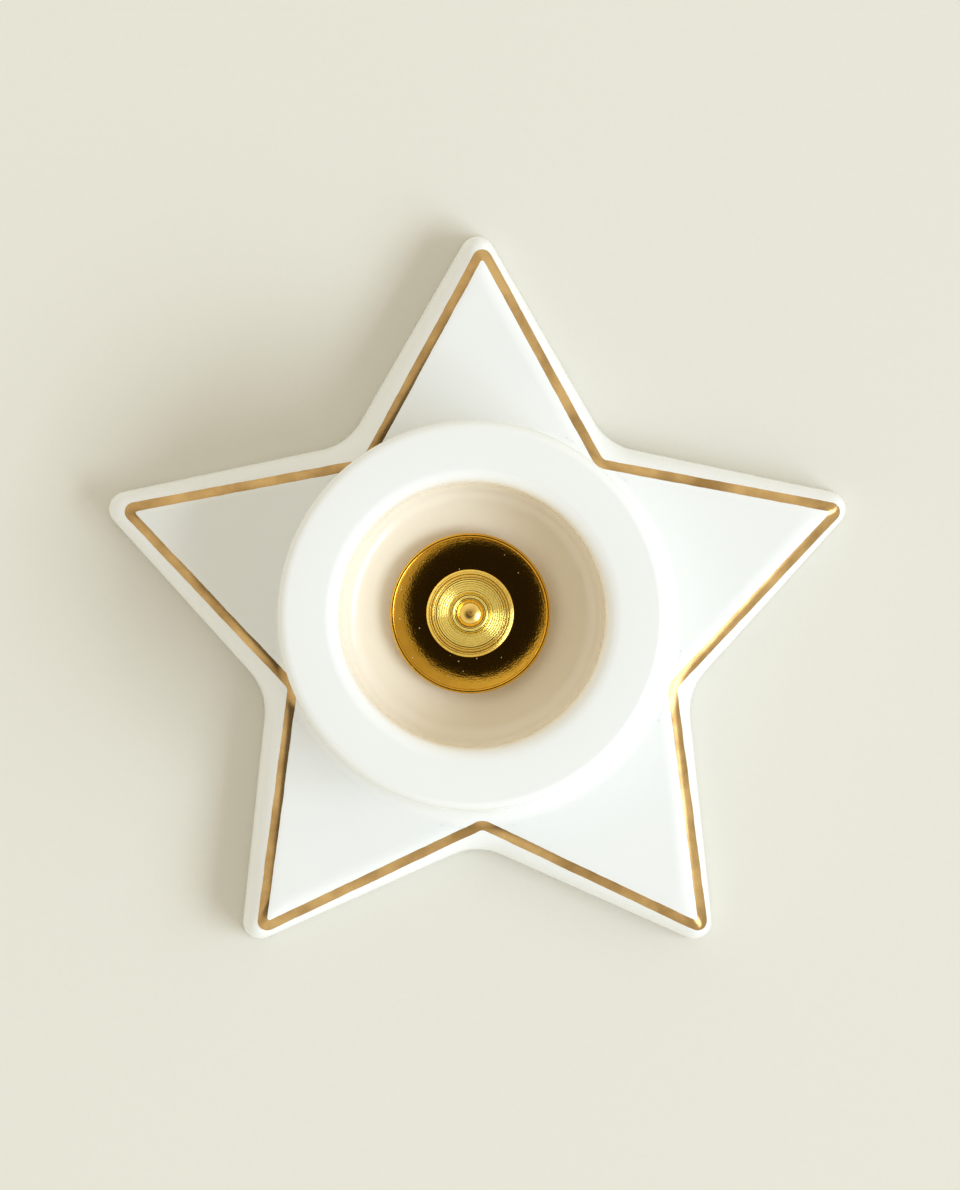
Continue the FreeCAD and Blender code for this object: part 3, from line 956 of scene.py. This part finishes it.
# ---- the candle cup --------------------------------------------------------------------------------
@dataclass
class CandleCup:
    """The cup casting, with its rim and the tealight's well."""

    radius: float = 29.3 * MM
    foot_radius: float = 28.0 * MM
    foot_round: float = 1.0 * MM
    rim_outer: float = 1.5 * MM
    rim_inner: float = 2.5 * MM
    well_radius: float = 20.0 * MM
    well_floor: float = 17.0 * MM
    floor_round: float = 3.2 * MM
    hole_radius: float = 3.0 * MM
    seat_radius: float = 9.7 * MM
    seat_depth: float = 1.0 * MM

    def section(self) -> Section:
        """Draw the cup's half-section, from the screw hole under the cup, round the wall and back.

        Returns:
            The closed section.
        """
        low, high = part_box("candle_cup")
        seat = low.z + self.seat_depth
        section = Section(self.hole_radius, self.well_floor)
        section.line(self.hole_radius, seat)
        section.line(self.seat_radius, seat)
        section.line(self.seat_radius, low.z)
        section.line(self.foot_radius - self.foot_round, low.z)
        section.arc(self.foot_radius - self.foot_round, low.z + self.foot_round, 90, 6)
        section.line(self.radius, high.z - self.rim_outer)
        section.arc(self.radius - self.rim_outer, high.z - self.rim_outer, 90, 10)
        section.line(self.well_radius + self.rim_inner, high.z)
        section.arc(self.well_radius + self.rim_inner, high.z - self.rim_inner, 90, 12)
        section.line(self.well_radius, self.well_floor + self.floor_round)
        section.arc(self.well_radius - self.floor_round, self.well_floor + self.floor_round, -90, 12)
        return section.close()

    def make(self, glaze: bpy.types.Material) -> None:
        """Build and dress the cup."""
        mesh = self.section().spun(middle_of("candle_cup"), steps=220)
        placed(finished_piece("cup_casting", mesh, [glaze]), "candle_cup")


# ---- the fitting -----------------------------------------------------------------------------------
@dataclass
class Fitting:
    """The spun pan and the turned nut, on the screw's axis."""

    pan_thick: float = 0.7 * MM
    pan_hole: float = 2.2 * MM
    pan_flat: float = 7.2 * MM
    pan_seat: float = 8.6 * MM
    pan_bulge: float = 0.14 * MM
    pan_lip: float = 0.34 * MM
    nut_wall: float = 0.25 * MM
    nut_bulge: float = 0.08 * MM
    grooves: int = 3
    groove_radius: float = 0.09 * MM
    nut_face_radius: float = 5.1 * MM
    collar_radius: float = 3.14 * MM
    collar_height: float = 0.55 * MM
    collar_round: float = 0.5 * MM
    screw_radius: float = 2.0 * MM
    axis: tuple[float, float] = field(init=False)

    def __post_init__(self) -> None:
        """Take the fitting's axis from the design."""
        self.axis = middle_of("drip_pan")

    def pan_section(self) -> Section:
        """Draw the pan's half-section: flat floor, upturned side and rolled lip.

        Returns:
            The closed section.
        """
        low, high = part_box("drip_pan")
        radius = (high.x - low.x) / 2
        lip_radius, lip_height = radius - self.pan_lip, high.z - self.pan_lip
        floor = low.z + self.pan_thick
        rise = lip_height - floor
        reach = lip_radius - self.pan_lip - self.pan_flat
        sweep = (rise * rise + reach * reach) / (2.0 * rise)
        turn = math.degrees(2.0 * math.atan2(rise, reach))
        section = Section(self.pan_hole, floor)
        section.line(self.pan_flat, floor)
        section.arc(self.pan_flat, floor + sweep, turn, 12)
        section.arc(lip_radius, lip_height, -180, 10)
        section.line((radius + self.pan_seat) / 2, (lip_height + low.z) / 2 - self.pan_bulge)
        section.line(self.pan_seat, low.z)
        section.line(self.pan_hole, low.z)
        return section.close()

    def nut_section(self) -> Section:
        """Draw the turned nut's half-section: grooved shoulder, flat face and collar.

        Returns:
            The closed section.
        """
        low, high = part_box("ferrule_nut")
        radius = (high.x - low.x) / 2
        face = high.z - self.collar_height
        section = Section(self.screw_radius, low.z)
        section.line(radius, low.z)
        section.line(radius, low.z + self.nut_wall)
        foot = Vector((radius, low.z + self.nut_wall))
        slope = Vector((self.nut_face_radius, face)) - foot
        outward = Vector((slope.y, -slope.x)).normalized()
        half_groove = self.groove_radius / slope.length
        lands = self.grooves + 1
        for land in range(lands):
            start, end = land / lands, (land + 1) / lands
            for share in (start + half_groove, (start + end) / 2, end - half_groove):
                spot = foot + slope * share + outward * self.nut_bulge * 4.0 * share * (1.0 - share)
                section.line(*spot)
            if land < self.grooves:
                section.line(*(foot + slope * end + outward * (self.nut_bulge - self.groove_radius)))
        section.line(self.nut_face_radius, face)
        section.line(self.collar_radius, face)
        section.line(self.collar_radius, high.z - self.collar_round)
        section.arc(self.collar_radius - self.collar_round, high.z - self.collar_round, 90, 8)
        section.line(self.screw_radius + self.collar_round, high.z)
        section.arc(self.screw_radius + self.collar_round, high.z - self.collar_round, 90, 8)
        return section.close()

    def make(self, spun: bpy.types.Material, turned: bpy.types.Material) -> None:
        """Build and dress the pan and the nut.

        Args:
            spun: the pan's finish.
            turned: the nut's finish.
        """
        pan = self.pan_section().spun(self.axis, steps=180)
        placed(finished_piece("spun_pan", pan, [spun], sharp_degrees=40.0), "drip_pan")
        nut = self.nut_section().spun(self.axis, steps=120)
        placed(finished_piece("turned_nut", nut, [turned], sharp_degrees=30.0), "ferrule_nut")


# ---- the studio ------------------------------------------------------------------------------------
@dataclass(frozen=True)
class SoftBox:
    """One soft lamp: where it hangs, in degrees, how wide and high it is, in metres, and its power."""

    name: str
    azimuth: float
    from_zenith: float
    size: tuple[float, float]
    power: float


@dataclass
class Studio:
    """The table, the light and the camera."""

    camera_height: float = 850.0 * MM
    view_width: float = 149.7 * MM
    view_middle: tuple[float, float] = (0.42 * MM, 4.32 * MM)
    sensor: float = 36.0   # millimetres
    clip: tuple[float, float] = (0.01, 20.0)
    lamp_distance: float = 4.0
    lamp_colour: tuple[float, float, float] = (0.74, 0.85, 1.0)
    soft_boxes: tuple[SoftBox, ...] = (
        SoftBox("soft_box", -22.0, 46.0, (2.4, 1.3), 72.0),
        SoftBox("low_strip", -18.0, 59.0, (4.2, 0.9), 38.0),
    )
    ceiling_azimuth: float = 225.0
    ceiling_from_zenith: float = 8.0
    ceiling_half_width: float = 25.0
    ceiling_soft: float = 1.5
    ceiling_glow: tuple[float, ...] = (0.02, 0.016, 0.012, 1.0)
    high_glow: tuple[float, ...] = (0.60, 0.53, 0.41, 1.0)
    low_glow: tuple[float, ...] = (0.92, 0.89, 0.78, 1.0)
    glow_change: tuple[float, float] = (30.0, 48.0)   # degrees from the zenith
    warm_azimuth: float = 140.0
    warm_glow: tuple[float, ...] = (0.94, 0.89, 0.77, 1.0)
    warm_full: float = 0.7   # how closely a look runs towards the warm side where it is all warm
    table_size: float = 4.0
    table_drop: float = 0.03 * MM   # keeps the table's face just under the foot's

    def make_table(self) -> None:
        """Lay the table under the foot."""
        mesh = bmesh.new()
        bmesh.ops.create_grid(mesh, x_segments=1, y_segments=1, size=self.table_size / 2)
        bmesh.ops.translate(mesh, vec=-UP * self.table_drop, verts=mesh.verts)
        table = finished_piece("table_top", mesh, [PaintedBoard().material()])

    def make_lamps(self) -> None:
        """Hang the soft boxes to the right, each facing the holder."""
        for box in self.soft_boxes:
            light = bpy.data.lights.new(box.name, "AREA")
            light.shape = "RECTANGLE"
            light.size, light.size_y = box.size
            light.energy = box.power
            light.color = self.lamp_colour
            lamp = bpy.data.objects.new(box.name, light)
            bpy.context.scene.collection.objects.link(lamp)
            toward = direction_to(box.azimuth, box.from_zenith)
            lamp.location = toward * self.lamp_distance
            lamp.rotation_euler = toward.to_track_quat("Z", "Y").to_euler()

    def make_surroundings(self) -> None:
        """Give the room round the table its soft light, with the dark ceiling over the camera."""
        world = bpy.data.worlds.new("studio")
        world.use_nodes = True
        tree = world.node_tree
        tree.nodes.clear()
        look = add_node(tree, "ShaderNodeTexCoord").outputs["Generated"]

        def toward(azimuth: float, from_zenith: float) -> bpy.types.NodeSocket:
            """How closely the look runs along a direction."""
            axis = tuple(direction_to(azimuth, from_zenith))
            return add_node(tree, "ShaderNodeVectorMath", {
                0: look, 1: axis,
            }, operation="DOT_PRODUCT").outputs[1]

        edge = [
            math.cos(math.radians(self.ceiling_half_width + side * self.ceiling_soft)) for side in (1.0, -1.0)
        ]
        change = [math.cos(math.radians(angle)) for angle in self.glow_change]
        ceiling = add_node(tree, "ShaderNodeMapRange", {
            "Value": toward(self.ceiling_azimuth, self.ceiling_from_zenith),
            "From Min": edge[0], "From Max": edge[1],
        }, interpolation_type="SMOOTHSTEP")
        low = add_node(tree, "ShaderNodeMapRange", {
            "Value": toward(0.0, 0.0), "From Min": change[0], "From Max": change[1],
        }, interpolation_type="SMOOTHSTEP")
        wall = add_node(tree, "ShaderNodeMix", {
            0: low.outputs[0], 6: self.high_glow, 7: self.low_glow,
        }, data_type="RGBA")
        warm = add_node(tree, "ShaderNodeMapRange", {
            "Value": toward(self.warm_azimuth, 90.0), "From Min": 0.0, "From Max": self.warm_full,
        })
        tinted = add_node(tree, "ShaderNodeMix", {
            0: warm.outputs[0], 6: wall.outputs[2], 7: self.warm_glow,
        }, data_type="RGBA")
        glow = add_node(tree, "ShaderNodeMix", {
            0: ceiling.outputs[0], 6: tinted.outputs[2], 7: self.ceiling_glow,
        }, data_type="RGBA")
        background = add_node(tree, "ShaderNodeBackground", {"Color": glow.outputs[2], "Strength": 1.0})
        add_node(tree, "ShaderNodeOutputWorld", {"Surface": background.outputs[0]})
        bpy.context.scene.world = world

    def make_camera(self) -> None:
        """Hang the camera straight above the table."""
        data = bpy.data.cameras.new("camera")
        data.sensor_fit = "HORIZONTAL"
        data.sensor_width = self.sensor
        data.lens = self.sensor * self.camera_height / self.view_width
        data.clip_start, data.clip_end = self.clip
        camera = bpy.data.objects.new("camera", data)
        camera.location = (*self.view_middle, self.camera_height)
        bpy.context.scene.collection.objects.link(camera)
        bpy.context.scene.camera = camera

    def make(self) -> None:
        """Set up the table, the light and the camera."""
        self.make_camera()
        self.make_table()
        self.make_lamps()
        self.make_surroundings()
        bpy.context.scene.view_settings.view_transform = "Standard"


def merged_copy(name: str, node: str, material: bpy.types.Material) -> bpy.types.Object:
    """Copy a node of the design, with its loose triangles joined and its round faces shaded smooth.

    Args:
        name: the new piece's name.
        node: the design node to copy.
        material: the piece's finish.

    Returns:
        The new object.
    """
    mesh = bmesh.new()
    mesh.from_mesh(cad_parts[node].data)
    bmesh.ops.remove_doubles(mesh, verts=mesh.verts, dist=COPY_WELD)
    return finished_piece(name, mesh, [material])


def make_hardware() -> None:
    """Dress the screw, the washers and the gaskets, whose shapes are the design's own."""
    brass = PlatedSteel("brass_plated_steel", "#FFDC80", "#F0C565", 0.24).material()
    silicone = SoftRing("clear_silicone", "#D9D8D0", "#E6E5DF", 0.4).material()
    rubber = SoftRing("black_rubber", "#1B1B1A", "#2C2B29", 0.6).material()
    zinc = PlatedSteel("zinc_plated_steel", "#C9CCCF", "#9DA1A5").material()
    hardware = (
        ("screw", "clamp_screw", brass, "plated_screw"),
        ("split_washer", "spring_washer", zinc, "zinc_steel"),
        ("wide_washer", "steel_washer", zinc, "zinc_steel"),
        ("rubber_washer", "soft_washer", rubber, "black_rubber"),
        ("seat_ring", "cup_gasket", silicone, "clear_silicone"),
        ("pan_ring", "pan_gasket", silicone, "clear_silicone"),
    )
    for name, node, material, slot in hardware:
        placed(merged_copy(name, node, material), node)


def main() -> None:
    """Build every piece in order."""
    logging.basicConfig(level=logging.INFO, format="%(name)s: %(message)s")
    Studio().make()
    glaze = GlazedPorcelain().material()
    fitting = Fitting()
    StarDish().make(glaze, BisqueFoot().material(), GoldLustre().material())
    CandleCup().make(GlazedPorcelain("glazed_porcelain_cup", well_axis=middle_of("candle_cup")).material())
    fitting.make(
        # painted shade: the pan's gold is darker and deeper than the nut's same plating, for the dim
        # reflections in the pan
        GoldPlate("gold_plate_spun", Surface.SPUN, fitting.axis, "#E6B445", "#D09C33").material(),
        GoldPlate("gold_plate_turned", Surface.TURNED, fitting.axis, "#FFE887", "#FFDE6E").material(),
    )
    make_hardware()


if __name__ == "__main__":
    main()
